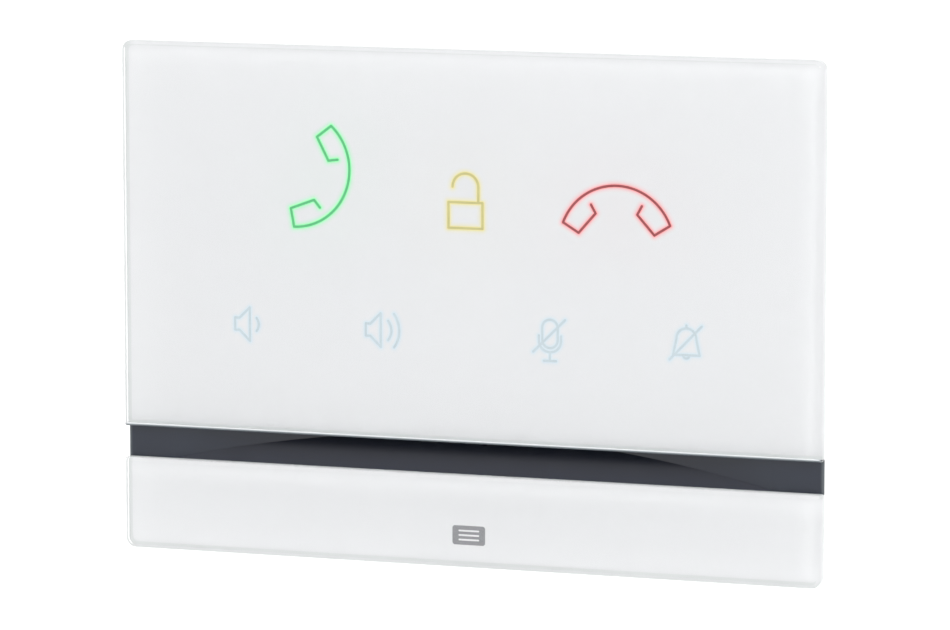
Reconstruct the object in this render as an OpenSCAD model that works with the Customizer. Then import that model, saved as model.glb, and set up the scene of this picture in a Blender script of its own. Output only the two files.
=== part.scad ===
// Flush-mounted audio intercom panel with a glass front and touch symbols.
// X to the right, Z up, the front faces -Y. Y = 0 is the wall face, at the
// centre of the wall plate.

/* [Front] */
// Width of the glass front
front_w = 170; // [168:1:176]
// Height of the glass front
front_h = 120; // [119:1:124]
// Projection of the front face from the wall
front_y = 12; // [12:0.5:14]
// Glass thickness
glass_t = 3; // [2.5:0.5:3]
// Corner radius of the front
corner_r = 2.3; // [1:0.1:4]
// Polished bevel on the glass edges
bevel = 0.8; // [0.3:0.1:1.2]
// Lower edge of the upper glass, above the centre
upper_z0 = -31; // [-31.5:0.5:-30.5]
// Upper edge of the lower glass, above the centre
lower_z1 = -38.5; // [-39:0.5:-38]

/* [Symbols] */
// Line width of the lit symbols
stroke = 0.55; // [0.3:0.05:0.8]
// Arc radius of the handset symbols
handset_r = 13.68; // [13:0.1:14]
// Width of the badge
badge_w = 8; // [6:0.5:12]
// Height of the badge
badge_h = 4.5; // [3:0.5:6]

/* [Strip] */
// Half width of the scoop along the strip's lower edge
scoop_a = 73; // [60:1:74]
// Height of the scoop's arch in the middle
scoop_h = 8.6; // [7:0.1:10]
// Slope of the scoop's floor, inwards to the top
scoop_k = 0.45; // [0.2:0.05:0.5]

/* [Housing] */
// Outside width of the recessed housing
hous_w = 132; // [132:1:133]
// Outside height of the recessed housing
hous_h = 94; // [94:1:95]
// Depth of the housing behind the wall face
hous_d = 24; // [24:1:28]
// Wall thickness of the housing
wall_t = 2; // [1.6:0.2:2.2]

/* [Wall plate] */
// Screw spacing across
screw_x = 144.5; // [144:0.5:145]
// Screw spacing up and down
screw_z = 60; // [40:1:70]
// Screw hole diameter
screw_hole = 4.2; // [3.5:0.1:4.8]

/* [Hidden] */

hw = front_w/2;
hh = front_h/2;
y0 = -front_y;             // front face of the glass
yg = y0 + glass_t;         // back of the glass
ys = yg + 0.08;            // back of the coloured ink, front of the white film
yp = yg + 0.2;             // back of the print
yt = yp + 0.4;             // back of the tape, front of the carrier
yc = yt + 1.6;             // back of the carrier's front wall
strip_in = 0.1;            // the strip stops this far inside the glass sides

// places of the symbols
p_answer = [-42.55, 31.27];
p_hang = [35.86, 16.28];
p_lock = [-0.5, 21.8];
p_vdn = [-57.45, -5.75];
p_vup = [-24.95, -5.7];
p_mic = [19.97, -6.24];
p_bell = [52.6, -4.33];
p_badge = [0.25, -52.7];

sp_z = -28.6;              // speaker centre
post = [60.5, 41];         // housing screw posts
key_cells = [[-36, 29.3, 20, 28], [-0.2, 25, 14, 18], [36.3, 24, 30, 17],
    [-53.6, -6, 9, 11.5], [-20.6, -6, 11, 12], [20.3, -5.9, 10, 12],
    [52.8, -5.4, 10, 11.5]];

// ---- helpers -------------------------------------------------------------

// a flat shape in x and z, from one y to another
module slab(ya, yb) translate([0, yb, 0]) rotate([90, 0, 0])
    linear_extrude(height = yb - ya) children();

// a shape drawn as x, y and stood up along z
module box(x, y, z) translate([x[0], y[0], z[0]])
    cube([x[1] - x[0], y[1] - y[0], z[1] - z[0]]);

// round bar along y
module bar(x, z, ya, yb, r, n = 48) translate([x, yb, z]) rotate([90, 0, 0])
    cylinder(h = yb - ya, r = r, $fn = n);

module rrect(w, h, r) {
    square([w - 2*r, h], center = true);
    square([w, h - 2*r], center = true);
    for (sx = [-1, 1], sy = [-1, 1])
        translate([sx*(w/2 - r), sy*(h/2 - r)]) circle(r = r, $fn = 48);
}

// plate outline between two heights with its own top and bottom radii
module plate2d(w, za, zb, rt, rb) {
    translate([-w/2, za + rb]) square([w, zb - za - rt - rb]);
    translate([-w/2 + rt, zb - rt]) square([w - 2*rt, rt]);
    translate([-w/2 + rb, za]) square([w - 2*rb, rb]);
    for (s = [-1, 1]) {
        translate([s*(w/2 - rt), zb - rt]) circle(r = rt, $fn = 48);
        translate([s*(w/2 - rb), za + rb]) circle(r = rb, $fn = 48);
    }
}

// glass plate with a polished bevel round its front
module glass_plate(za, zb, rt, rb) intersection() {
    slab(y0, yg) plate2d(front_w, za, zb, rt, rb);
    translate([-hw - 1, 0, 0]) rotate([90, 0, 90])
        linear_extrude(height = front_w + 2)
        polygon([[yg, za], [yg, zb], [y0 + bevel, zb], [y0, zb - bevel],
            [y0, za + bevel], [y0 + bevel, za]]);
    translate([0, 0, za - 1]) linear_extrude(height = zb - za + 2)
        polygon([[-hw, yg], [hw, yg], [hw, y0 + bevel], [hw - bevel, y0],
            [-hw + bevel, y0], [-hw, y0 + bevel]]);
}

// one round-ended stroke
module seg(a, b, w = stroke) {
    d = [b[0] - a[0], b[1] - a[1]];
    l = norm(d);
    translate(a) rotate(atan2(d[1], d[0])) {
        translate([0, -w/2]) square([l, w]);
        circle(d = w, $fn = 20);
        translate([l, 0]) circle(d = w, $fn = 20);
    }
}

module line(p, w = stroke)
    for (i = [0:len(p) - 2]) seg(p[i], p[i + 1], w);

// arc stroke about a centre, from one angle to another, under a half turn
module arc(c, r, a0, a1, w = stroke) translate(c) {
    m = (a0 + a1)/2;
    q = 2*r;
    intersection() {
        difference() {
            circle(r = r + w/2, $fn = 96);
            circle(r = r - w/2, $fn = 96);
        }
        polygon([[0, 0], [q*cos(a0), q*sin(a0)],
            [q*cos((a0 + m)/2), q*sin((a0 + m)/2)], [q*cos(m), q*sin(m)],
            [q*cos((a1 + m)/2), q*sin((a1 + m)/2)],
            [q*cos(a1), q*sin(a1)]]);
    }
    for (a = [a0, a1]) translate([r*cos(a), r*sin(a)])
        circle(d = w, $fn = 20);
}

// ---- symbols, flat -------------------------------------------------------

module handset2d() {
    t = 21.02;
    arc([0, 0], handset_r, t, 90);
    arc([0, 0], handset_r, 90, 180 - t);
    e = [handset_r*cos(t), handset_r*sin(t)];
    for (s = [-1, 1])
        line([[s*e[0], e[1]], [s*9.04, 2.62], [s*4.97, 7.2], [s*6.06, 9.18]]);
}

module answer2d() translate(p_answer) rotate(-111.3) handset2d();
module hang2d() translate(p_hang) rotate(0.25) handset2d();

module lock2d() translate(p_lock) {
    line([[-4.13, -2.97], [4.13, -2.97], [4.13, 2.97], [-4.13, 2.97],
        [-4.13, -2.97]]);
    arc([0, 6.57], 3.12, 0, 90);
    arc([0, 6.57], 3.12, 90, 180);
    seg([3.12, 6.57], [3.12, 2.97]);
}

module horn2d()
    line([[0, -1.43], [0, 1.43], [1.1, 1.43], [3.68, 3.92], [3.68, -3.92],
        [1.1, -1.43], [0, -1.43]]);

module vdn2d() translate(p_vdn) { horn2d(); arc([3.41, 0], 2.47, -38, 38); }

module vup2d() translate(p_vup) {
    horn2d();
    arc([2.75, 0], 3.55, -39, 39);
    arc([1.68, 0], 6.55, -36.3, 36.3);
}

module mic2d() translate(p_mic) {
    arc([0, 2.93], 1.87, 0, 90);
    arc([0, 2.93], 1.87, 90, 180);
    arc([0, 0.09], 1.87, 180, 270);
    arc([0, 0.09], 1.87, 270, 360);
    seg([-1.87, 0.09], [-1.87, 2.93]);
    seg([1.87, 0.09], [1.87, 2.93]);
    arc([0, -0.06], 2.67, 180, 270);
    arc([0, -0.06], 2.67, 270, 360);
    seg([-2.67, -0.06], [-2.67, 1.04]);
    seg([2.67, -0.06], [2.67, 1.04]);
    seg([0, -2.73], [0, -4.75]);
    seg([-1.45, -4.75], [1.45, -4.75]);
    seg([-4.05, -2.75], [3.64, 4.83]);
}

module bell2d() translate(p_bell) {
    arc([0, 0], 2.34, 0, 90);
    arc([0, 0], 2.34, 90, 180);
    seg([0, 2.34], [0, 3.0]);
    line([[-2.34, 0], [-3.12, -3.8], [3.12, -3.8], [2.34, 0]]);
    arc([0, -3.8], 0.75, 180, 270);
    arc([0, -3.8], 0.75, 270, 360);
    seg([-3.98, -4.95], [3.62, 2.9]);
}

module badge2d(g = 0) translate(p_badge)
    rrect(badge_w + 2*g, badge_h + 2*g, 0.65 + g);

// ---- glass front ---------------------------------------------------------

module upper_glass() color([0.93, 0.95, 0.96, 0.5])
    glass_plate(upper_z0, hh, corner_r, 0.4);

module lower_glass() color([0.93, 0.95, 0.96, 0.5])
    glass_plate(-hh, lower_z1, 0.4, corner_r);

module upper_print() color("white")
    slab(ys, yp) plate2d(front_w - 2.4, upper_z0 + 1.2, hh - 1.2, 1.4, 0.3);

module lower_print() color("white") difference() {
    slab(yg, yp) plate2d(front_w - 2.4, -hh + 1.2, lower_z1 - 1.2, 0.3, 1.4);
    slab(yg - 1, yp + 1) badge2d();
}

module symbol_answer() color("limegreen") slab(yg, ys) answer2d();
module symbol_unlock() color("gold") slab(yg, ys) lock2d();
module symbol_hang_up() color("crimson") slab(yg, ys) hang2d();
module symbol_volume_down() color("powderblue") slab(yg, ys) vdn2d();
module symbol_volume_up() color("powderblue") slab(yg, ys) vup2d();
module symbol_mic_off() color("powderblue") slab(yg, ys) mic2d();
module symbol_bell_off() color("powderblue") slab(yg, ys) bell2d();
module badge() color("darkgray") slab(yg, yp) badge2d();

// Strip: a flange behind the glass edges, with chamfered ends, and a body.
// Its scoop has two faces that meet in an arch: a wall that curves inwards
// to the middle, and a ramp that runs in and up to the sound slots.
module acoustic_strip() {
    zb = lower_z1;
    sx = hw - strip_in;
    sd = scoop_h*scoop_k;
    sr = (scoop_a*scoop_a + sd*sd)/(2*sd);
    color([0.16, 0.17, 0.21]) difference() {
        union() {
            intersection() {
                slab(yg, yt) translate([0, (upper_z0 + lower_z1)/2])
                    rrect(2*sx, upper_z0 - lower_z1 + 0.8, 0.3);
                translate([0, 0, zb - 2]) linear_extrude(height = 12)
                    polygon([[-sx, yt], [sx, yt], [sx, yg + 0.25],
                        [sx - 0.25, yg], [0.25 - sx, yg], [-sx, yg + 0.25]]);
            }
            box([-75.6, 75.6], [yt, -3.9], [lower_z1 - 0.4, upper_z0 + 0.4]);
        }
        intersection() {
            translate([0, yg + sd - sr, zb]) cylinder(h = 10, r = sr,
                $fn = 720);
            box([-75, 75], [yg - 1, -4.6], [zb, upper_z0]);
            translate([-75, 0, 0]) rotate([90, 0, 90])
                linear_extrude(height = 150)
                polygon([[yg - 1, zb], [yg, zb],
                    [yg + scoop_k*(upper_z0 - zb), upper_z0],
                    [yg - 1, upper_z0]]);
        }
        // sound slots, under the lip of the upper glass
        for (i = [-2:2]) box([i*5.4 - 2.1, i*5.4 + 2.1], [yg - 1, -3],
            [upper_z0 - 1.0, upper_z0 - 0.1]);
        // microphone port, behind the lip
        box([57, 59], [yg - 1, -3], [upper_z0 - 0.45, upper_z0 - 0.1]);
    }
}

// tape frames
module stack2d(g = 0) difference() {
    translate([-59.3 - g, -13.2 - g]) square([118.6 + 2*g, 57.8 + 2*g]);
    for (s = [-1, 1]) translate([s*62, 42.4]) square([11 - 2*g, 10.8 - 2*g],
        center = true);
}

module upper_tape() color("whitesmoke") difference() {
    slab(yp, yt) plate2d(front_w - 3.6, upper_z0 + 2, hh - 1.8, 1, 0.3);
    slab(yp - 1, yt + 1) stack2d(0.4);
}

module lower_tape() color("whitesmoke") slab(yp, yt) difference() {
    plate2d(front_w - 3.6, -hh + 1.8, lower_z1 - 2, 0.3, 1);
    translate([0, (lower_z1 - hh)/2]) square([140, 8], center = true);
}

// ---- light and touch stack ------------------------------------------------

module touch_sensor() color([0.75, 0.8, 0.8, 0.6]) slab(yp, yp + 0.2)
    stack2d();
module light_diffuser() color("ghostwhite") slab(yp + 0.2, yt + 0.6)
    stack2d();

ys0 = yt + 0.6;            // front of the shroud
ys1 = -4.8;                // back of the shroud, front of the touch board

module light_shroud() color([0.12, 0.12, 0.13]) difference() {
    union() {
        slab(ys0, ys0 + 1) stack2d();
        for (k = key_cells) slab(ys0, ys1) translate([k[0], k[1]])
            square([k[2] + 2.4, k[3] + 2.4], center = true);
        for (p = tb_screws) bar(p[0], p[1], ys0, ys1, 2.2);
    }
    for (k = key_cells) slab(ys0 - 1, ys1 + 1) translate([k[0], k[1]])
        square([k[2], k[3]], center = true);
    for (p = tb_screws) bar(p[0], p[1], ys0 + 0.6, ys1 + 1, 1.02, 32);
    for (s = [-1, 1]) box([s*62 - 5.5, s*62 + 5.5], [ys0 - 1, ys1 + 1],
        [37, 48]);
}

tb_screws = [[-36, 8], [36, 8], [-9.5, 41], [9.5, 41]];

module touch_board() color("darkgreen") difference() {
    slab(ys1, ys1 + 1.2) stack2d();
    for (p = tb_screws) bar(p[0], p[1], ys1 - 1, ys1 + 2, 1.15, 32);
}

module led(x, z) {
    box([x - 1.6, x + 1.6], [ys1 - 0.8, ys1], [z - 1.4, z + 1.4]);
}
module key_leds() color("lightyellow") {
    led(-36, 37); led(-36, 22); led(-0.2, 25); led(29, 24); led(43.5, 24);
    led(-54, -6); led(-20.6, -6); led(20.3, -6.2); led(52.8, -5.4);
}

module pan_screw(x, z, y, l, r, hr, hd) difference() {
    // head towards +y, shank towards -y
    union() {
        bar(x, z, y, y + hd, hr, 40);
        bar(x, z, y - l, y, r, 32);
    }
    box([x - hr*0.62, x + hr*0.62], [y + hd*0.45, y + hd + 1],
        [z - 0.28, z + 0.28]);
    box([x - 0.28, x + 0.28], [y + hd*0.45, y + hd + 1],
        [z - hr*0.62, z + hr*0.62]);
}

module touch_board_screws() color("silver")
    for (p = tb_screws) pan_screw(p[0], p[1], ys1 + 1.2, 3.0, 1.0, 1.9, 1.1);

// ---- carrier --------------------------------------------------------------

module front_carrier() color("white") difference() {
    union() {
        slab(yt, yc) rrect(front_w - 3.6, front_h - 3, 3);
        slab(yc, -0.4) difference() {
            rrect(160, 114, 4);
            rrect(156, 110, 2.5);
        }
        // screw bosses
        for (sx = [-1, 1], sz = [-1, 1])
            bar(sx*post[0], sz*post[1], yc, yc + 4, 3.3);
        // seats that stand on the wall plate
        for (sx = [-1, 1], z = [-46, 0, 46])
            box([sx*72 - 2, sx*72 + 2], [yc, -2.45], [z - 3, z + 3]);
        // stiffening ribs along the top
        for (x = [-40, 0, 40]) box([x - 0.6, x + 0.6], [yc, -3.4], [48.6, 55]);
        // walls of the speaker's front chamber
        difference() {
            box([-21, 21], [yc, -3.9], [-44.8, -13.8]);
            box([-19.6, 19.6], [yc - 1, -3], [-43.4, -15.2]);
        }
    }
    // window for the light and touch stack
    slab(yt - 1, ys0) stack2d(0.1);
    slab(ys0 - 0.1, yc + 1) stack2d(0.1);
    // channel for the strip's body
    box([-75.7, 75.7], [yt - 1, 0], [lower_z1 - 0.5, upper_z0 + 0.5]);
    // screw holes, blind
    for (sx = [-1, 1], sz = [-1, 1])
        bar(sx*post[0], sz*post[1], yt + 0.8, yc + 5, 1.52, 32);
    // slots in the top wall where a flat tool frees the springs
    for (x = [-45, 45]) box([x - 4, x + 4], [-1.6, 0], [54, 58]);
}

// ---- speaker and microphone -------------------------------------------------

module duct_screws() for (sx = [-1, 1], sz = [-1, 1])
    translate([sx*15.25, 0, sp_z + sz*8.8]) children();

module speaker_duct() color([0.1, 0.1, 0.11]) difference() {
    union() {
        box([-20.5, 20.5], [-3.9, -2.9], [-44.8, -13.3]);
        duct_screws() bar(0, 0, -2.9, -1.45, 2.3);
    }
    bar(0, sp_z, -5, -1, 13.4, 96);
    bar(0, sp_z, -2.9, 0, 16.1, 96);
    duct_screws() bar(0, 0, -4.2, 0, 1.02, 32);
}

module ring(z, ya, yb, ra, rb) difference() {
    bar(0, z, ya, yb, rb, 96);
    bar(0, z, ya - 1, yb + 1, ra, 96);
}

module speaker_gasket() color("dimgray") ring(sp_z, -2.9, -2.4, 14.8, 15.9);

module turned(z) translate([0, 0, z]) rotate([-90, 0, 0])
    rotate_extrude($fn = 96) children();

module speaker_frame() color([0.2, 0.2, 0.21]) difference() {
    // turned about y: radius, then y
    turned(sp_z) polygon([[14.7, -2.4], [16, -2.4], [16, -1.4], [15.4, -1.4],
        [10.4, 2.2], [9.3, 2.2], [9.3, 1.6], [10.0, 1.6], [14.7, -1.7]]);
    for (a = [0:60:300]) translate([0, 0, sp_z]) rotate([0, a + 30, 0])
        box([11, 14.2], [-1.2, 1.4], [-2.6, 2.6]);
}

module speaker_magnet() color("slategray") {
    turned(sp_z) polygon([[0, 1.4], [4.7, 1.4], [4.7, 4.6], [9.2, 4.6],
        [9.2, 5.4], [0, 5.4]]);
    ring(sp_z, 2.2, 4.55, 6.0, 9.0);
    ring(sp_z, 1.45, 2.15, 5.5, 9.2);
}

module speaker_surround() color([0.07, 0.07, 0.07])
    turned(sp_z) difference() {
        translate([13.85, -1.72]) circle(r = 0.8, $fn = 32);
        translate([13.85, -1.72]) circle(r = 0.5, $fn = 32);
        translate([12, -1.72]) square([4, 2]);
    }

module speaker_cone() color([0.15, 0.14, 0.13])
    turned(sp_z) polygon([[5.3, 0.5], [12.95, -1.75], [12.95, -1.5],
        [5.3, 0.8]]);

module voice_coil() color("peru") ring(sp_z, 0.2, 3.6, 4.95, 5.25);

module dust_cap() color([0.12, 0.12, 0.12])
    turned(sp_z) intersection() {
        difference() {
            translate([0, 8.07]) circle(r = 9.2, $fn = 96);
            translate([0, 8.07]) circle(r = 8.95, $fn = 96);
        }
        translate([0, -2]) square([4.9, 3]);
    }

module speaker_screws() color("silver") duct_screws()
    pan_screw(0, 0, -1.4, 2.3, 1.0, 1.9, 1.0);

module speaker_wires() for (s = [-1, 1]) color(s > 0 ? "red" : "black")
    translate([0, 0, sp_z + s*1.2 - 0.45]) linear_extrude(height = 0.9)
    line([[-16.6, -0.6], [-21, 0.6], [-26, 3.6], [-29.8, 4.3]], 0.9);

module microphone() color("silver") {
    bar(58, -33.6, -2.6, 0.2, 3.0);
    for (s = [-1, 1]) bar(58, -33.6 + s*1.3, 0.2, 5.9, 0.3, 20);
}

module microphone_boot() color([0.08, 0.08, 0.08]) difference() {
    bar(58, -33.6, -3.85, 1.6, 4.2);
    bar(58, -33.6, -2.65, 3, 3.03);
    bar(58, upper_z0 - 0.7, -5, 0, 0.7, 24);
}

// ---- boards ----------------------------------------------------------------

yb0 = 6;                   // front of the main board
yb1 = 7.6;                 // back of the main board
yr = hous_d;               // back of the housing
bs = [[-50, 36], [50, 36], [-50, -38.5], [50, -38.5]];

module main_board() color("darkgreen") difference() {
    slab(yb0, yb1) rrect(126.8, 88.8, 1);
    for (sx = [-1, 1], sz = [-1, 1])
        box([sx*62 - 5.5, sx*62 + 5.5], [yb0 - 1, yb1 + 1],
            [sz*42.6 - 5.6, sz*42.6 + 5.6]);
    for (p = bs) bar(p[0], p[1], yb0 - 1, yb1 + 1, 1.6, 32);
}

module processor() color([0.1, 0.1, 0.11])
    box([-32, -18], [yb0 - 1.3, yb0], [11, 25]);
module thermal_pad() color("lightblue")
    box([-31.5, -18.5], [yb0 - 1.9, yb0 - 1.3], [11.5, 24.5]);
module heat_spreader() color("silver") {
    box([-44, -6], [yb0 - 2.9, yb0 - 1.9], [3, 33]);
    for (x = [-44, -7]) box([x, x + 1], [yb0 - 1.9, yb0], [3, 12]);
}
module memory_chips() color([0.11, 0.11, 0.12]) {
    box([-3, 8], [yb0 - 1.1, yb0], [18, 26]);
    box([-3, 8], [yb0 - 1.1, yb0], [7, 15]);
    box([24, 31], [yb0 - 0.9, yb0], [-14, -7]);
}
module power_transformer() color("goldenrod") difference() {
    box([-16, 0], [yb1, yb1 + 11], [-30, -14]);
    box([-17, -13], [yb1 + 2.5, yb1 + 8.5], [-31, -13]);
    box([-3, 1], [yb1 + 2.5, yb1 + 8.5], [-31, -13]);
}
module line_transformer() color([0.1, 0.1, 0.1])
    box([-45, -31], [yb1, yb1 + 6.5], [2, 11]);
module capacitors() color("midnightblue")
    for (p = [[6, 10], [17, 10], [6, 22]])
        bar(p[0], p[1], yb1, yb1 + 11.5, 4);
module inductor() color("dimgray") difference() {
    slab(yb1, yb1 + 5) translate([-14, 12]) rrect(11, 11, 1.5);
    bar(-14, 12, yb1 + 4.4, yb1 + 6, 4, 48);
}
module ribbon_connectors() color("ivory") {
    box([22, 38], [ys1 + 1.2, ys1 + 3.0], [-11.8, -8]);
    box([22, 38], [yb0 - 2, yb0], [-22, -17]);
    box([-33.5, -30.3], [yb0 - 2.6, yb0], [sp_z - 3, sp_z + 3]);
}
// flat cable from the touch board to the main board
module ribbon_cable() color("white") {
    rc = 0.25;
    box([23.5, 36.5], [-1.8, -1.8 + rc], [-20.4, -8.2]);
    box([23.5, 36.5], [-1.8 + rc, yb0 - 2.25], [-20.4, -20.4 + rc]);
    box([23.5, 36.5], [yb0 - 2.25, yb0 - 2], [-20.4, -17.2]);
}

// ---- connections -------------------------------------------------------------

jx = -38; jz = -18;        // jack centre
module network_jack() color("silver") difference() {
    box([jx - 8.1, jx + 8.1], [yb1, 21.4], [jz - 6.9, jz + 6.9]);
    box([jx - 5.9, jx + 5.9], [yb1 + 1.4, 22], [jz - 4.6, jz + 3.6]);
    box([jx - 3.2, jx + 3.2], [yb1 + 1.4, 22], [jz - 5.9, jz - 4.5]);
}
module network_contacts() color("gold")
    for (i = [0:7]) box([jx - 3.9 + i*1.07, jx - 3.55 + i*1.07],
        [yb1 + 1.4, 19], [jz + 3.0, jz + 3.6]);

tx = 30; tz = -24;         // terminal centre
module terminal_header() color("darkseagreen") difference() {
    box([tx - 12, tx + 12], [yb1, 16], [tz - 5, tz + 5]);
    box([tx - 10.4, tx + 10.4], [yb1 + 1.2, 17], [tz - 3.8, tz + 3.8]);
    for (i = [0:3]) box([tx - 7.62 + i*5.08 - 0.52, tx - 7.62 + i*5.08 + 0.52],
        [yb1 - 1, yb1 + 3], [tz - 0.52, tz + 0.52]);
}
module terminal_pins() color("silver") for (i = [0:3])
    box([tx - 7.62 + i*5.08 - 0.5, tx - 7.62 + i*5.08 + 0.5],
        [yb1, 14.6], [tz - 0.5, tz + 0.5]);
module terminal_plug() color("seagreen") difference() {
    union() {
        box([tx - 10.16, tx + 10.16], [9.2, 16.3], [tz - 3.6, tz + 3.6]);
        box([tx - 11.2, tx + 11.2], [16.3, 26], [tz - 4.6, tz + 5.6]);
    }
    for (i = [0:3]) {
        x = tx - 7.62 + i*5.08;
        box([x - 0.8, x + 0.8], [9, 15.4], [tz - 0.8, tz + 0.8]);
        box([x - 1.5, x + 1.5], [19.5, 27], [tz - 2.6, tz + 1.2]);
        translate([x, 22, tz + 3.2]) cylinder(h = 4, r = 1.75, $fn = 32);
    }
}
module terminal_screws() color("silver") for (i = [0:3]) difference() {
    translate([tx - 7.62 + i*5.08, 22, tz + 3.2])
        cylinder(h = 1.6, r = 1.7, $fn = 32);
    translate([tx - 7.62 + i*5.08 - 0.25, 20, tz + 4.2]) cube([0.5, 4, 1]);
}

rx = 42; rz = 14;          // reset switch centre
module reset_switch() color([0.13, 0.13, 0.14]) difference() {
    box([rx - 3, rx + 3], [yb1, yb1 + 3.6], [rz - 3, rz + 3]);
    bar(rx, rz, yb1 + 2.4, yb1 + 5, 1.8);
}
module reset_plunger() color("white")
    bar(rx, rz, yb1 + 2.8, 21.2, 1.72);

// ---- housing and wall plate ----------------------------------------------------

module rear_housing() color([0.36, 0.37, 0.38]) difference() {
    union() {
        difference() {
            slab(yc, yr) rrect(hous_w, hous_h, 3);
            slab(yc - 1, yr - wall_t)
                rrect(hous_w - 2*wall_t, hous_h - 2*wall_t, 1.5);
        }
        for (sx = [-1, 1], sz = [-1, 1])
            bar(sx*post[0], sz*post[1], yc + 4, yr, 3.5);
        for (p = bs) bar(p[0], p[1], yb1, yr, 3);
    }
    // screw posts, counterbored from behind
    for (sx = [-1, 1], sz = [-1, 1]) {
        bar(sx*post[0], sz*post[1], yc, yr + 1, 1.6, 32);
        bar(sx*post[0], sz*post[1], 6, yr + 1, 2.9);
    }
    for (p = bs) bar(p[0], p[1], yb1 - 1, yb1 + 8, 1.22, 32);
    // windows: network jack, terminal plug, reset
    box([jx - 8.5, jx + 8.5], [yr - 4, yr + 1], [jz - 7.3, jz + 7.3]);
    box([tx - 13, tx + 13], [yr - 4, yr + 1], [tz - 6.2, tz + 7]);
    bar(rx, rz, yr - 4, yr + 1, 2.2);
    // vents
    for (i = [0:5]) slab(yr - 4, yr + 1) translate([-24 + i*9.6, 38])
        rrect(2, 8, 0.99);
    // room for the strip's body
    box([-70, 70], [yc - 1, -3.8], [lower_z1 - 0.6, upper_z0 + 0.6]);
    // label recess
    box([-32, 32], [yr - 0.2, yr + 1], [2, 28]);
}

module housing_screws() color("silver")
    for (sx = [-1, 1], sz = [-1, 1])
        pan_screw(sx*post[0], sz*post[1], 6, 11.4, 1.5, 2.75, 1.8);

module board_screws() color("silver") for (p = bs) mirror([0, 1, 0])
    pan_screw(p[0], p[1], -yb0, 7.5, 1.2, 2.4, 1.4);

module rating_label() color("white")
    slab(yr - 0.2, yr - 0.05) translate([0, 15]) difference() {
        rrect(63, 25, 1);
        translate([rx, rz - 15]) circle(r = 2.4, $fn = 32);
    }

module mounting_frame() color("lightgray") difference() {
    slab(-2.4, 0) difference() {
        rrect(154, 108, 4);
        rrect(hous_w + 3, hous_h + 3, 3);
    }
    for (sx = [-1, 1], sz = [-1, 1])
        bar(sx*screw_x/2, sz*screw_z/2, -4, 1, screw_hole/2);
}

module retaining_springs() color("silver")
    for (s = [-1, 1], x = [-45, 45]) mirror([0, 0, s > 0 ? 0 : 1])
        translate([x - 6, 0, 0]) rotate([90, 0, 90])
        linear_extrude(height = 12)
        polygon([[-2.75, 50], [-2.75, 54.2], [-1.5, 54.86], [-0.25, 54.25],
            [-0.25, 54], [-0.55, 54], [-1.5, 54.5], [-2.4, 54.02],
            [-2.4, 50]]);

// ---- assembly -------------------------------------------------------------------

upper_glass();
lower_glass();
upper_print();
lower_print();
symbol_answer();
symbol_unlock();
symbol_hang_up();
symbol_volume_down();
symbol_volume_up();
symbol_mic_off();
symbol_bell_off();
badge();
acoustic_strip();
upper_tape();
lower_tape();
touch_sensor();
light_diffuser();
light_shroud();
touch_board();
key_leds();
touch_board_screws();
front_carrier();
speaker_duct();
speaker_gasket();
speaker_frame();
speaker_magnet();
speaker_surround();
speaker_cone();
voice_coil();
dust_cap();
speaker_screws();
speaker_wires();
microphone();
microphone_boot();
main_board();
processor();
thermal_pad();
heat_spreader();
memory_chips();
power_transformer();
line_transformer();
capacitors();
inductor();
ribbon_cable();
ribbon_connectors();
network_jack();
network_contacts();
terminal_header();
terminal_pins();
terminal_plug();
terminal_screws();
reset_switch();
reset_plunger();
rear_housing();
housing_screws();
board_screws();
rating_label();
mounting_frame();
retaining_springs();
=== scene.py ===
import bpy, bmesh, math
from mathutils import Matrix, Vector
from mathutils.bvhtree import BVHTree


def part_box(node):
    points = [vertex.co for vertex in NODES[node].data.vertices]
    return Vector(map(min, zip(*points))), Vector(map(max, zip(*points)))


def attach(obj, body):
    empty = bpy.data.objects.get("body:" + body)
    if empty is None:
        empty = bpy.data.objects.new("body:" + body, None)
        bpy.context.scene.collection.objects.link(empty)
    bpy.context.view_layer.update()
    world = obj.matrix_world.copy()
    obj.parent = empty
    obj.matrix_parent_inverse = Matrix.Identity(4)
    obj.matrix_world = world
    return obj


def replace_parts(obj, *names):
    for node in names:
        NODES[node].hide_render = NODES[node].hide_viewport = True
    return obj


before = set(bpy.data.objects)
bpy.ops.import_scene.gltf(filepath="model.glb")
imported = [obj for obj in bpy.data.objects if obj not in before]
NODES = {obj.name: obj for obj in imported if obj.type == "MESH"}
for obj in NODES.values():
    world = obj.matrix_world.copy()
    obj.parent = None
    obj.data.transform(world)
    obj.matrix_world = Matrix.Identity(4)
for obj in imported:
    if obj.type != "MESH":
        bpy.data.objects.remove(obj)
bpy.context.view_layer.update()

MM = 0.001

# ---------------------------------------------------------------- sizes, all from the frame
glo, ghi = (Vector(v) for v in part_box("upper_glass"))
llo, lhi = (Vector(v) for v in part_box("lower_glass"))
Y0, YG = glo.y, ghi.y                                # front and back of the glass
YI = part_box("symbol_answer")[1][1]                   # back of the coloured ink
HW, TOP, UZ0, LZ1, BOT = ghi.x, ghi.z, glo.z, lhi.z, llo.z

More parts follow.
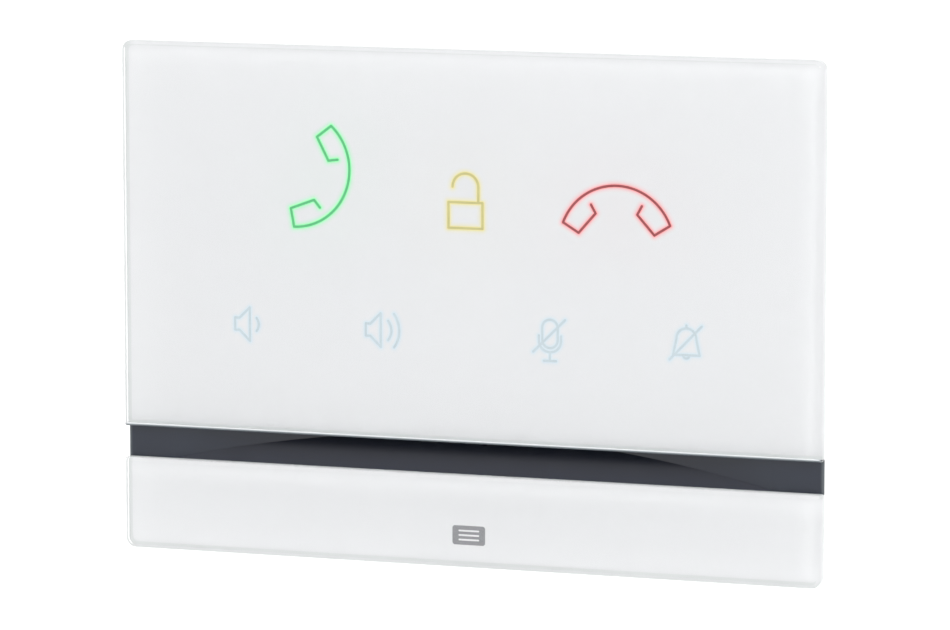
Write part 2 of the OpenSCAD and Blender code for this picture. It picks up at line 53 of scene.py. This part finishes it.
# ---------------------------------------------------------------- camera
AZ, EL, ROLL = 19.107, 7.779, -0.04
DIST, FPX, TX, TY = 1.2518, 5449.8, 2.344 * MM, -0.973 * MM
a, e, r = (math.radians(v) for v in (AZ, EL, ROLL))
back = Vector((math.sin(a) * math.cos(e), -math.cos(a) * math.cos(e), math.sin(e)))
right = Vector((0, 0, 1)).cross(back).normalized()
up = back.cross(right)
right, up = math.cos(r) * right + math.sin(r) * up, -math.sin(r) * right + math.cos(r) * up
cam_data = bpy.data.cameras.new("camera")
cam_data.sensor_width, cam_data.sensor_fit = 36.0, "HORIZONTAL"
cam_data.lens = FPX / 950 * 36.0
cam_data.clip_start, cam_data.clip_end = 0.05, 80.0
cam = bpy.data.objects.new("camera", cam_data)
bpy.context.collection.objects.link(cam)
m = Matrix.Identity(4)
for i, v in enumerate((right, up, back)):
    m.col[i] = (*v, 0)
m.col[3] = (*(Vector((0, Y0, 0)) + back * DIST + right * TX + up * TY), 1)
cam.matrix_world = m
bpy.context.scene.camera = cam
bpy.context.scene.view_settings.view_transform = "Standard"
bpy.context.scene.view_settings.look = "None"


# ---------------------------------------------------------------- shader helpers
def lin(v):
    v /= 255
    return v / 12.92 if v <= 0.04045 else ((v + 0.055) / 1.055) ** 2.4


def srgb(*c):
    return tuple(lin(v) for v in c) + (1.0,)


class Mat:
    """A material with one Principled shader, and short calls for its procedural textures."""

    def __init__(self, name, color, rough=0.5, **sockets):
        self.m = bpy.data.materials.new(name)
        self.m.use_nodes = True
        self.t = self.m.node_tree
        self.p = self.t.nodes["Principled BSDF"]
        self.color = tuple(color[:3]) + (1,)
        self.p.inputs["Base Color"].default_value = self.color
        self.p.inputs["Roughness"].default_value = rough
        for k, v in sockets.items():
            self.p.inputs[k.replace("_", " ")].default_value = v
        self.m.diffuse_color = self.color
        self._co = None

    def node(self, kind, **props):
        n = self.t.nodes.new(kind)
        for k, v in props.items():
            setattr(n, k, v)
        return n

    def link(self, a, b):
        self.t.links.new(a, b)

    def co(self, scale=(1, 1, 1), turn=(0, 0, 0), move=(0, 0, 0)):
        if self._co is None:
            self._co = self.node("ShaderNodeTexCoord").outputs["Object"]
        if scale == (1, 1, 1) and turn == (0, 0, 0) and move == (0, 0, 0):
            return self._co
        mp = self.node("ShaderNodeMapping")
        mp.inputs["Scale"].default_value = scale
        mp.inputs["Rotation"].default_value = turn
        mp.inputs["Location"].default_value = move
        self.link(self._co, mp.inputs["Vector"])
        return mp.outputs["Vector"]

    def axis(self, which):
        n = self.node("ShaderNodeSeparateXYZ")
        self.link(self.co(), n.inputs[0])
        return n.outputs[which]

    def noise(self, scale, detail=3.0, rough=0.55, stretch=(1, 1, 1)):
        n = self.node("ShaderNodeTexNoise")
        n.inputs["Scale"].default_value = scale
        n.inputs["Detail"].default_value = detail
        n.inputs["Roughness"].default_value = rough
        self.link(self.co(stretch), n.inputs["Vector"])
        return n.outputs["Fac"]

    def cells(self, scale, feature="F1", distance="EUCLIDEAN", out="Distance", stretch=(1, 1, 1)):
        n = self.node("ShaderNodeTexVoronoi", feature=feature)
        if feature in ("F1", "F2", "SMOOTH_F1"):
            n.distance = distance
        n.inputs["Scale"].default_value = scale
        self.link(self.co(stretch), n.inputs["Vector"])
        return n.outputs[out]

    def wave(self, scale, direction="X", distort=0.0, detail=0.0):
        n = self.node("ShaderNodeTexWave", bands_direction=direction)
        n.inputs["Scale"].default_value = scale
        n.inputs["Distortion"].default_value = distort
        n.inputs["Detail"].default_value = detail
        self.link(self.co(), n.inputs["Vector"])
        return n.outputs["Fac"]

    def math(self, op, x, y=None, z=None):
        n = self.node("ShaderNodeMath", operation=op)
        for i, v in enumerate((x, y, z)):
            if v is None:
                continue
            if isinstance(v, (int, float)):
                n.inputs[i].default_value = v
            else:
                self.link(v, n.inputs[i])
        return n.outputs[0]

    def remap(self, fac, f0, f1, t0, t1):
        n = self.node("ShaderNodeMapRange")
        for k, v in (("From Min", f0), ("From Max", f1), ("To Min", t0), ("To Max", t1)):
            n.inputs[k].default_value = v
        self.link(fac, n.inputs["Value"])
        return n.outputs["Result"]

    def ramp(self, fac, stops, constant=False):
        n = self.node("ShaderNodeValToRGB")
        if constant:
            n.color_ramp.interpolation = "CONSTANT"
        el = n.color_ramp.elements
        while len(el) < len(stops):
            el.new(0.5)
        for s, (pos, col) in zip(el, stops):
            s.position = pos
            s.color = tuple(col[:3]) + (1,)
        self.link(fac, n.inputs["Fac"])
        return n.outputs["Color"]

    def mix(self, fac, x, y):
        n = self.node("ShaderNodeMix", data_type="RGBA")
        for v, i in ((fac, 0), (x, 6), (y, 7)):
            if isinstance(v, (tuple, float, int)):
                n.inputs[i].default_value = v
            else:
                self.link(v, n.inputs[i])
        return n.outputs[2]

    def base(self, out):
        self.link(out, self.p.inputs["Base Color"])

    def vary(self, fac, amount=0.05, color=None):
        """The base colour wanders a little lighter and darker."""
        c = color or self.color
        out = self.ramp(fac, [(0.3, [v * (1 - amount) for v in c[:3]]), (0.7, [min(1, v * (1 + amount)) for v in c[:3]])])
        self.base(out)
        return out

    def rough(self, fac, lo, hi):
        self.link(self.remap(fac, 0.3, 0.7, lo, hi), self.p.inputs["Roughness"])

    def bump(self, fac, height_mm, strength=1.0, after=None):
        n = self.node("ShaderNodeBump")
        n.inputs["Strength"].default_value = strength
        n.inputs["Distance"].default_value = height_mm * MM
        self.link(fac, n.inputs["Height"])
        if after is not None:
            self.link(after, n.inputs["Normal"])
        self.link(n.outputs["Normal"], self.p.inputs["Normal"])
        return n.outputs["Normal"]


def moulded(name, color, rough=0.45, grain=0.35, depth=0.012, amount=0.03, **kw):
    """Injection-moulded plastic with a fine spark-eroded texture. Grain and depth are in mm."""
    t = Mat(name, color, rough, **kw)
    t.vary(t.noise(60, 2.0), amount)
    t.rough(t.noise(400, 2.0), rough - 0.05, rough + 0.07)
    wide = t.bump(t.noise(45, 1.0), 0.05, 0.15)
    t.bump(t.noise(1000 / grain, 2.0, 0.6), depth, 0.6, wide)
    return t.m


def metal(name, color, rough=0.28, brushed=(1, 1, 1), scale=1500, depth=0.004, stain=0.07):
    t = Mat(name, color, rough, Metallic=1.0)
    n = t.noise(scale, 3.0, 0.6, brushed)
    t.vary(t.noise(250, 3.0), stain)
    t.rough(n, max(0.05, rough - 0.08), rough + 0.1)
    t.bump(n, depth, 0.5)
    return t.m


# ---------------------------------------------------------------- mesh helpers
def make(name, bm, mats, body="unit", smooth=35):
    bmesh.ops.remove_doubles(bm, verts=bm.verts, dist=1e-7)
    bmesh.ops.recalc_face_normals(bm, faces=bm.faces)
    for f in bm.faces:
        f.smooth = len(f.verts) < 5
    for ed in bm.edges:
        ed.smooth = len(ed.link_faces) == 2 and ed.calc_face_angle(0) < math.radians(smooth)
    me = bpy.data.meshes.new(name)
    bm.to_mesh(me)
    bm.free()
    ob = bpy.data.objects.new(name, me)
    bpy.context.collection.objects.link(ob)
    for mt in (mats if isinstance(mats, (list, tuple)) else [mats]):
        me.materials.append(mt)
    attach(ob, body)
    return ob


def outline(x0, x1, z0, z1, rad, inset=0.0, seg=10):
    """Points of a rounded rectangle in x and z. rad is bottom left, bottom right, top right, top left."""
    x0, x1, z0, z1 = x0 + inset, x1 - inset, z0 + inset, z1 - inset
    pts = []
    for (cx, cz, a0), rr in zip(((x0, z0, 180), (x1, z0, 270), (x1, z1, 0), (x0, z1, 90)), rad):
        rr = max(rr - inset, 0.05 * MM)
        px = cx + rr if cx == x0 else cx - rr
        pz = cz + rr if cz == z0 else cz - rr
        for k in range(seg + 1):
            t = math.radians(a0 + 90 * k / seg)
            pts.append((px + rr * math.cos(t), pz + rr * math.sin(t)))
    return pts


def plate(x0, x1, z0, z1, rad, profile, seg=10, back_slot=0):
    """Closed plate. profile is a list of (inset, y) from the front's edge to the back's edge."""
    bm = bmesh.new()
    rings = [[bm.verts.new((x, y, z)) for x, z in outline(x0, x1, z0, z1, rad, ins, seg)] for ins, y in profile]
    n = len(rings[0])
    for ra, rb in zip(rings, rings[1:]):
        for i in range(n):
            j = (i + 1) % n
            bm.faces.new((ra[i], ra[j], rb[j], rb[i]))
    bm.faces.new(rings[0])
    bm.faces.new(rings[-1][::-1]).material_index = back_slot
    return bm


def prism(bm, pts, y0, y1, slot=0):
    """Closed prism from (x, z) points between two depths."""
    f = [bm.verts.new((x, y0, z)) for x, z in pts]
    b = [bm.verts.new((x, y1, z)) for x, z in pts]
    faces = [bm.faces.new(f), bm.faces.new(b[::-1])]
    n = len(pts)
    for i in range(n):
        faces.append(bm.faces.new((f[i], f[(i + 1) % n], b[(i + 1) % n], b[i])))
    for x in faces:
        x.material_index = slot


# ---------------------------------------------------------------- front materials
FILM_RGB = (0.938, 0.940, 0.956, 1)


def film_base(name):
    t = Mat(name, FILM_RGB, 0.5)
    t.bump(t.noise(900, 2.0), 0.002, 0.4)
    return t


film = film_base("white_print")
film.vary(film.noise(14, 2.0), 0.006)
FILM = film.m
rim = Mat("white_print_rim", (0.875, 0.895, 0.895, 1), 0.5)
rim.vary(rim.noise(60, 2.0), 0.01)
rim.bump(rim.noise(900, 2.0), 0.002, 0.4)
EDGE = rim.m

glass = Mat("clear_glass", (0.985, 0.995, 0.99, 1), 0.0, Transmission_Weight=1.0, IOR=1.5)
glass.rough(glass.noise(30, 2.0), 0.0, 0.01)
GLASS = glass.m

ground = Mat("ground_glass_edge_painted_shade", srgb(130, 138, 142), 0.4)
inner = ground.node("ShaderNodeNewGeometry").outputs["Backfacing"]  # the print's white shows inside the glass
# outside, the ground edge runs from near white at its top to near black at its bottom: painted shade under the upper
# plate, with a few random grey flecks
outer_painted_shade = ground.mix(ground.remap(ground.noise(2500, 2.0), 0.3, 0.7, 0.0, 0.08),
                   ground.ramp(ground.remap(ground.axis("Z"), UZ0, UZ0 + 0.8 * MM, 0.0, 1.0),
                               [(0.0, srgb(38, 44, 50)), (0.15, srgb(78, 85, 91)), (0.45, srgb(112, 119, 124)),
                                (0.75, srgb(200, 206, 208)), (1.0, srgb(240, 244, 244))]),
                   srgb(150, 158, 160))
ground.base(ground.mix(inner, outer_painted_shade, (0.93, 0.94, 0.94, 1)))
ground.bump(ground.noise(4000, 2.0), 0.004, 0.5)


def ink(name, glow, base, gain=1.0):
    t = Mat(name, base, 0.4)
    t.vary(t.noise(700, 2.0), 0.06)
    t.p.inputs["Emission Color"].default_value = tuple(glow) + (1,)
    t.p.inputs["Emission Strength"].default_value = gain
    return t.m


def glow_film(name, tint, glow, gain):
    """The white print round a lit symbol, tinted by the light that spreads in it."""
    t = film_base(name)
    f = t.node("ShaderNodeAttribute", attribute_name="glow").outputs["Fac"]
    white = t.ramp(t.noise(14, 2.0), [(0.3, [v * 0.994 for v in FILM_RGB[:3]]), (0.7, [v * 1.006 for v in FILM_RGB[:3]])])
    t.base(t.mix(f, white, tuple(tint) + (1,)))
    t.p.inputs["Emission Color"].default_value = tuple(glow) + (1,)
    t.link(t.math("MULTIPLY", f, gain), t.p.inputs["Emission Strength"])
    return t.m


# ---------------------------------------------------------------- glass plates
def glass_plate(name, z0, z1, rad, bv=0.8 * MM):
    yb = YI + 0.005 * MM
    cut = [(0.06, 0.0), (0.015, 0.006), (-0.03, 0.035)]
    prof = [(bv + i * MM, Y0 + y * MM) for i, y in cut] + [(y * MM, Y0 + bv + i * MM) for i, y in cut[::-1]]
    prof += [(0.0, yb - 0.12 * MM), (0.10 * MM, yb), (0.25 * MM, yb)]
    bm = plate(-HW, HW, z0, z1, rad, prof, 12, 1)
    # the faces picked below take the ground edge material, whose darkening towards the bottom is painted shade
    if z0 > LZ1:  # the upper plate's lower edge is ground, not polished
        for f in bm.faces:
            c = f.calc_center_median()
            if f.material_index == 0 and c.z < z0 + bv and abs(c.x) < HW - 0.4 * MM and Y0 + 0.01 * MM < c.y < yb - 0.02 * MM:
                f.material_index = 2
    ob = make(name, bm, [GLASS, EDGE, ground.m], "unit", 30)
    return ob


R, r0 = 2.3 * MM, 0.4 * MM
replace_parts(glass_plate("front_glass_upper", UZ0, TOP, (r0, r0, R, R)), "upper_glass")
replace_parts(glass_plate("front_glass_lower", BOT, LZ1, (R, R, r0, r0)), "lower_glass")


def dress(mat, *names):
    for n in names:
        o = NODES[n]
        o.data.materials.clear()
        o.data.materials.append(mat)


dress(FILM, "upper_print", "lower_print")


# ---------------------------------------------------------------- symbols and their glow
def halo(node, mat, reach=1.5 * MM, step=0.14 * MM):
    """A thin sheet in the print round a symbol. Its attribute glow falls off with distance from the symbol."""
    me = NODES[node].data
    tree = BVHTree.FromPolygons([v.co[:] for v in me.vertices], [p.vertices[:] for p in me.polygons])
    lo, hi = (Vector(v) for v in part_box(node))
    nx, nz = int((hi.x - lo.x + 2 * reach) / step) + 2, int((hi.z - lo.z + 2 * reach) / step) + 2
    dist, idx, verts, vals = {}, {}, [], []
    for i in range(nx):
        for k in range(nz):
            p = Vector((lo.x - reach + i * step, lo.y, lo.z - reach + k * step))
            hit = tree.find_nearest(p, reach)
            if hit[0] is not None:
                dist[i, k] = (p, hit[3])
    faces = []
    for (i, k) in dist:
        quad = [(i, k), (i + 1, k), (i + 1, k + 1), (i, k + 1)]
        if all(q in dist for q in quad):
            for q in quad:
                if q not in idx:
                    idx[q] = len(verts)
                    p, d = dist[q]
                    verts.append(p)
                    edge = min(1.0, (1 - d / reach) * 3)
                    vals.append(0.8 * math.exp(-2.9 * d / MM) * max(0.0, edge))
            faces.append([idx[q] for q in quad])
    n = len(verts)
    yf, yb = YI - 0.010 * MM, YI - 0.001 * MM
    co = [(p.x, yf, p.z) for p in verts] + [(p.x, yb, p.z) for p in verts]
    seen = {}
    for f in faces:
        for u, v in zip(f, f[1:] + f[:1]):
            seen[u, v] = True
    rim = [(u, v) for (u, v) in seen if (v, u) not in seen]
    polys = faces + [[v + n for v in f[::-1]] for f in faces] + [[v, u, u + n, v + n] for u, v in rim]
    me = bpy.data.meshes.new(node + "_glow")
    me.from_pydata(co, [], polys)
    at = me.attributes.new("glow", "FLOAT", "POINT")
    at.data.foreach_set("value", vals + vals)
    me.materials.append(mat)
    ob = bpy.data.objects.new(node + "_glow", me)
    bpy.context.collection.objects.link(ob)
    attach(ob, "unit")


green = glow_film("print_green_glow", (0.0, 0.9, 0.26), (0.0, 0.30, 0.02), 1.0)
red = glow_film("print_red_glow", (0.9, 0.2, 0.22), (0.35, 0.0, 0.0), 1.0)
yellow = glow_film("print_yellow_glow", (0.88, 0.82, 0.12), (0.10, 0.04, 0.0), 1.0)
blue = glow_film("print_blue_glow", (0.74, 0.88, 0.92), (0.0, 0.02, 0.07), 1.0)
dress(ink("ink_green", (0.04, 0.27, 0.09), (0.04, 0.30, 0.11, 1)), "symbol_answer")
dress(ink("ink_red", (0.22, 0.01, 0.015), (0.11, 0.014, 0.016, 1)), "symbol_hang_up")
dress(ink("ink_yellow", (0.27, 0.25, 0.08), (0.40, 0.36, 0.16, 1)), "symbol_unlock")
dress(ink("ink_blue", (0.28, 0.32, 0.35), (0.36, 0.42, 0.44, 1)),
      "symbol_volume_down", "symbol_volume_up", "symbol_mic_off", "symbol_bell_off")
halo("symbol_answer", green)
halo("symbol_hang_up", red)
halo("symbol_unlock", yellow)
for n in ("symbol_volume_down", "symbol_volume_up", "symbol_mic_off", "symbol_bell_off"):
    halo(n, blue)

# badge: a plain grey tablet with three plain bars
badge = Mat("badge_grey", srgb(150, 150, 154), 0.4)
badge.vary(badge.noise(900, 2.0), 0.06)
badge.bump(badge.noise(2500, 2.0), 0.003, 0.4)
dress(badge.m, "badge")
blo, bhi = (Vector(v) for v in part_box("badge"))
bm = bmesh.new()
bw, bh = bhi.x - blo.x, bhi.z - blo.z
for k in range(3):
    zc = (blo.z + bhi.z) / 2 + (k - 1) * bh * 0.235
    half = bw * 0.29
    hh = 0.21 * MM
    xc = (blo.x + bhi.x) / 2
    pts = []
    for cx, a0 in ((xc + half, -90), (xc - half, 90)):
        for s in range(9):
            t = math.radians(a0 + 180 * s / 8)
            pts.append((cx + hh * math.cos(t), zc + hh * math.sin(t)))
    prism(bm, pts, blo.y - 0.012 * MM, blo.y + 0.002 * MM)
bars = make("badge_bars", bm, FILM)

# ---------------------------------------------------------------- strip
strip = Mat("strip_satin_dark", srgb(24, 31, 45), 0.34, IOR=1.5)
# over the last mm at each end the strip turns light grey: painted highlight where its end edges catch the light
painted_end_highlight = strip.remap(strip.math("ABSOLUTE", strip.axis("X")), HW - 0.95 * MM, HW - 0.35 * MM, 0.0, 1.0)
# the strip darkens with depth into the scoop, and its ramp face is a darker, bluer black: painted shade in the
# recess under the upper plate
depth = strip.math("SUBTRACT", strip.axis("Y"), YG)
climb = strip.math("MULTIPLY", strip.math("SUBTRACT", strip.axis("Z"), LZ1), 0.45)
ramp_face = strip.remap(strip.math("ABSOLUTE", strip.math("SUBTRACT", depth, climb)), 0.06 * MM, 0.10 * MM, 1.0, 0.0)
wall = strip.mix(strip.remap(depth, 0.2 * MM, 3.0 * MM, 0.0, 1.0),
                 strip.ramp(strip.noise(40, 2.0), [(0.3, srgb(22, 29, 42)), (0.7, srgb(26, 33, 48))]),
                 srgb(5, 10, 26))
scoop_painted_shade = strip.mix(ramp_face, wall, strip.ramp(strip.remap(depth, 0.0, 3.0 * MM, 0.0, 1.0),
                                             [(0.0, srgb(4, 14, 36)), (1.0, srgb(2, 6, 20))]))
strip.base(strip.mix(painted_end_highlight, scoop_painted_shade, srgb(74, 80, 84)))
strip.rough(strip.noise(160, 3.0, 0.6), 0.31, 0.37)
w1 = strip.bump(strip.noise(25, 1.0), 0.03, 0.12)
strip.bump(strip.noise(2200, 2.0, 0.6), 0.003, 0.4, w1)
dress(strip.m, "acoustic_strip")

# ---------------------------------------------------------------- the rest of the pieces
foam = Mat("acrylic_foam_tape", srgb(206, 207, 208), 0.8)
foam.vary(foam.cells(2200), 0.10)
foam.bump(foam.cells(2200), 0.03, 0.7)
dress(foam.m, "upper_tape", "lower_tape")

sensor = Mat("sensor_film", (0.62, 0.66, 0.66, 1), 0.12, Coat_Weight=0.5)
gx = sensor.math("LESS_THAN", sensor.math("FRACT", sensor.math("MULTIPLY", sensor.axis("X"), 1 / (4 * MM))), 0.06)
gz = sensor.math("LESS_THAN", sensor.math("FRACT", sensor.math("MULTIPLY", sensor.axis("Z"), 1 / (4 * MM))), 0.06)
sensor.base(sensor.mix(sensor.math("MAXIMUM", gx, gz), (0.62, 0.66, 0.66, 1), (0.42, 0.47, 0.46, 1)))
dress(sensor.m, "touch_sensor")

dif = Mat("diffuser_sheet", (0.9, 0.9, 0.92, 1), 0.55, Subsurface_Weight=0.15)
dif.vary(dif.noise(300, 2.0), 0.02)
dif.bump(dif.noise(3000, 2.0), 0.01, 0.5)
dress(dif.m, "light_diffuser")

black = moulded("black_plastic", srgb(30, 30, 33), 0.42)
white_abs = moulded("white_abs", srgb(228, 230, 231), 0.42, amount=0.015)
grey_abs = moulded("grey_abs", srgb(106, 109, 113), 0.5, grain=0.5, depth=0.03)
dress(black, "light_shroud", "speaker_duct")
dress(white_abs, "reset_plunger")
dress(moulded("carrier_white", srgb(214, 216, 217), 0.45, grain=0.45, depth=0.02, amount=0.02), "front_carrier")
dress(grey_abs, "rear_housing")


def board(name):
    """Green solder mask over copper tracks, with a fine weave."""
    t = Mat(name, srgb(20, 92, 56), 0.32, Coat_Weight=0.35, Coat_Roughness=0.12)
    d = t.cells(420, "F1", "CHEBYCHEV")
    track = t.ramp(d, [(0.0, srgb(20, 92, 56)), (0.30, srgb(20, 92, 56)), (0.34, srgb(42, 128, 78)), (0.44, srgb(42, 128, 78)),
                       (0.48, srgb(16, 78, 48))])
    pads = t.math("LESS_THAN", t.cells(260, "F1", "EUCLIDEAN"), 0.085)
    t.base(t.mix(pads, track, srgb(188, 178, 150)))
    first = t.bump(d, 0.035, 0.5)
    t.bump(t.noise(2600, 2.0, 0.6), 0.006, 0.4, first)
    t.rough(t.noise(500, 2.0), 0.26, 0.42)
    return t.m


pcb = board("circuit_board")
dress(pcb, "touch_board", "main_board")

led = Mat("led_package", srgb(238, 232, 190), 0.35)
led.base(led.ramp(led.cells(900), [(0.0, srgb(246, 226, 120)), (0.35, srgb(240, 222, 130)), (0.5, srgb(236, 236, 232))]))
dress(led.m, "key_leds")

zinc = metal("zinc_screw", srgb(198, 200, 204), 0.3, scale=2600)
dress(zinc, "touch_board_screws", "speaker_screws", "housing_screws", "board_screws", "terminal_screws")
dress(metal("black_steel", srgb(48, 48, 51), 0.38), "speaker_frame")
dress(metal("magnet_plate", srgb(170, 172, 176), 0.3, brushed=(1, 0.1, 1)), "speaker_magnet")

rubber = Mat("black_rubber", srgb(28, 28, 29), 0.7, Sheen_Weight=0.15)
rubber.vary(rubber.noise(900, 3.0), 0.12)
rubber.bump(rubber.noise(2500, 2.0), 0.01, 0.5)
dress(rubber.m, "speaker_surround", "microphone_boot")
gasket = Mat("closed_cell_foam", srgb(44, 44, 46), 0.9)
gasket.vary(gasket.cells(2600), 0.2)
gasket.bump(gasket.cells(2600), 0.04, 0.8)
dress(gasket.m, "speaker_gasket")

cone = Mat("cone_paper", srgb(52, 50, 47), 0.85, Sheen_Weight=0.1)
cone.vary(cone.noise(1400, 4.0, 0.7, (1, 1, 3)), 0.25)
cone.bump(cone.noise(1800, 4.0, 0.7), 0.02, 0.7)
dress(cone.m, "speaker_cone")
cap = Mat("dust_cap", srgb(30, 30, 32), 0.45)
cap.vary(cap.noise(1500, 3.0), 0.2)
cap.bump(cap.cells(1800), 0.01, 0.5)
dress(cap.m, "dust_cap")
coil = Mat("copper_winding", srgb(196, 118, 72), 0.3, Metallic=1.0)
turns = coil.wave(2200, "Y")
coil.base(coil.ramp(turns, [(0.0, srgb(120, 62, 34)), (1.0, srgb(214, 132, 82))]))
coil.bump(turns, 0.05, 0.8)
dress(coil.m, "voice_coil")

wire = Mat("wire_insulation", srgb(150, 26, 28), 0.42)
wire.vary(wire.noise(500, 3.0), 0.10)
wire.bump(wire.noise(2500, 2.0), 0.004, 0.4)
dress(wire.m, "speaker_wires")
dress(metal("microphone_can", srgb(188, 190, 194), 0.25), "microphone")

chip = Mat("chip_epoxy", srgb(38, 38, 41), 0.55)
chip.vary(chip.noise(3000, 3.0), 0.16)
chip.bump(chip.noise(4000, 3.0), 0.008, 0.6)
chip.rough(chip.noise(900, 2.0), 0.45, 0.62)
dress(chip.m, "processor", "memory_chips", "reset_switch")
pad = Mat("thermal_pad", srgb(120, 158, 190), 0.75)
pad.vary(pad.noise(1200, 3.0), 0.10)
pad.bump(pad.noise(1800, 2.0), 0.02, 0.6)
dress(pad.m, "thermal_pad")
dress(metal("anodised_aluminium", srgb(196, 198, 202), 0.34, brushed=(1, 1, 0.03), scale=2400, depth=0.01), "heat_spreader")

tape = Mat("winding_tape", srgb(222, 186, 62), 0.35)
tape.vary(tape.noise(200, 3.0), 0.08)
tape.bump(tape.wave(500, "Z", 2.0), 0.03, 0.5)
dress(tape.m, "power_transformer", "line_transformer")
sleeve = Mat("capacitor_sleeve", srgb(36, 42, 62), 0.3, Coat_Weight=0.3)
stripe = sleeve.math("GREATER_THAN", sleeve.wave(70, "X", 1.0), 0.93)
sleeve.base(sleeve.mix(stripe, srgb(36, 42, 62), srgb(176, 182, 190)))
sleeve.bump(sleeve.noise(900, 2.0), 0.01, 0.4)
dress(sleeve.m, "capacitors")
ferrite = Mat("ferrite", srgb(78, 78, 82), 0.6)
ferrite.vary(ferrite.noise(1800, 4.0, 0.7), 0.22)
ferrite.bump(ferrite.noise(2200, 4.0, 0.7), 0.02, 0.7)
dress(ferrite.m, "inductor")

ribbon = Mat("flat_cable", srgb(226, 228, 232), 0.4)
line = ribbon.wave(500, "X")
ribbon.base(ribbon.ramp(line, [(0.0, srgb(196, 200, 206)), (0.25, srgb(228, 230, 234)), (1.0, srgb(236, 238, 240))]))
ribbon.bump(line, 0.05, 0.6)
dress(ribbon.m, "ribbon_cable")
dress(moulded("connector_ivory", srgb(232, 226, 206), 0.4), "ribbon_connectors")
dress(metal("plated_shell", srgb(196, 197, 198), 0.24, scale=1200), "network_jack")
dress(metal("gold_contacts", srgb(232, 196, 112), 0.22, scale=3000), "network_contacts")
dress(metal("tinned_pins", srgb(204, 205, 204), 0.3, scale=3000), "terminal_pins")
dress(moulded("terminal_green", srgb(38, 132, 70), 0.4, grain=0.25), "terminal_header", "terminal_plug")

label = Mat("label_silver", srgb(176, 179, 182), 0.45, Coat_Weight=0.15)
label.vary(label.noise(700, 4.0, 0.7), 0.03)
label.bump(label.noise(3000, 3.0), 0.003, 0.4)
dress(label.m, "rating_label")

# galvanised wall plate: large zinc crystals under fine rolling marks
galv = Mat("galvanised_plate", srgb(186, 189, 193), 0.34, Metallic=0.9)
crystal = galv.cells(190, "F1", out="Color")
sep = galv.node("ShaderNodeSeparateColor")
galv.link(crystal, sep.inputs[0])
galv.base(galv.ramp(sep.outputs[0], [(0.0, srgb(160, 164, 170)), (0.5, srgb(186, 189, 193)), (1.0, srgb(208, 210, 212))]))
galv.link(galv.remap(sep.outputs[1], 0.0, 1.0, 0.28, 0.46), galv.p.inputs["Roughness"])
galv.bump(galv.noise(900, 4.0, 0.65), 0.012, 0.6)
dress(galv.m, "mounting_frame")
dress(metal("spring_steel", srgb(168, 170, 176), 0.26, brushed=(0.05, 1, 1), scale=2600), "retaining_springs")

# ---------------------------------------------------------------- stage and light
bm = bmesh.new()
bmesh.ops.create_grid(bm, x_segments=8, y_segments=8, size=16)
me = bpy.data.meshes.new("floor")
bm.to_mesh(me)
bm.free()
floor = bpy.data.objects.new("floor", me)
floor.location = (0, 6, -0.45)
bpy.context.collection.objects.link(floor)
fm = Mat("floor_pale", (0.93, 0.93, 0.93, 1), 0.9)
fm.vary(fm.noise(3, 2.0), 0.01)
me.materials.append(fm.m)

world = bpy.data.worlds.new("studio")
world.use_nodes = True
wt = world.node_tree
bg = wt.nodes["Background"]
tc = wt.nodes.new("ShaderNodeTexCoord")
sp = wt.nodes.new("ShaderNodeSeparateXYZ")
mr = wt.nodes.new("ShaderNodeMapRange")
wt.links.new(tc.outputs["Generated"], sp.inputs[0])
wt.links.new(sp.outputs["Z"], mr.inputs["Value"])
for k, v in (("From Min", 0.0), ("From Max", 1.0), ("To Min", 1.0), ("To Max", 1.66)):
    mr.inputs[k].default_value = v
wt.links.new(mr.outputs["Result"], bg.inputs["Strength"])
bg.inputs["Color"].default_value = (1, 1, 1, 1)
bpy.context.scene.world = world


def area(name, loc, target, size, power, color=(1, 1, 1)):
    d = bpy.data.lights.new(name, "AREA")
    d.shape = "RECTANGLE"
    d.size, d.size_y = size
    d.energy = power
    d.color = color
    o = bpy.data.objects.new(name, d)
    o.location = loc
    o.rotation_mode = "QUATERNION"
    o.rotation_quaternion = (Vector(target) - Vector(loc)).to_track_quat("-Z", "Y")
    bpy.context.collection.objects.link(o)
    return o


area("key_right", (1.1, -0.9, 0.75), (0, 0, 0), (0.7, 0.7), 6.0, (1.0, 1.0, 1.0))
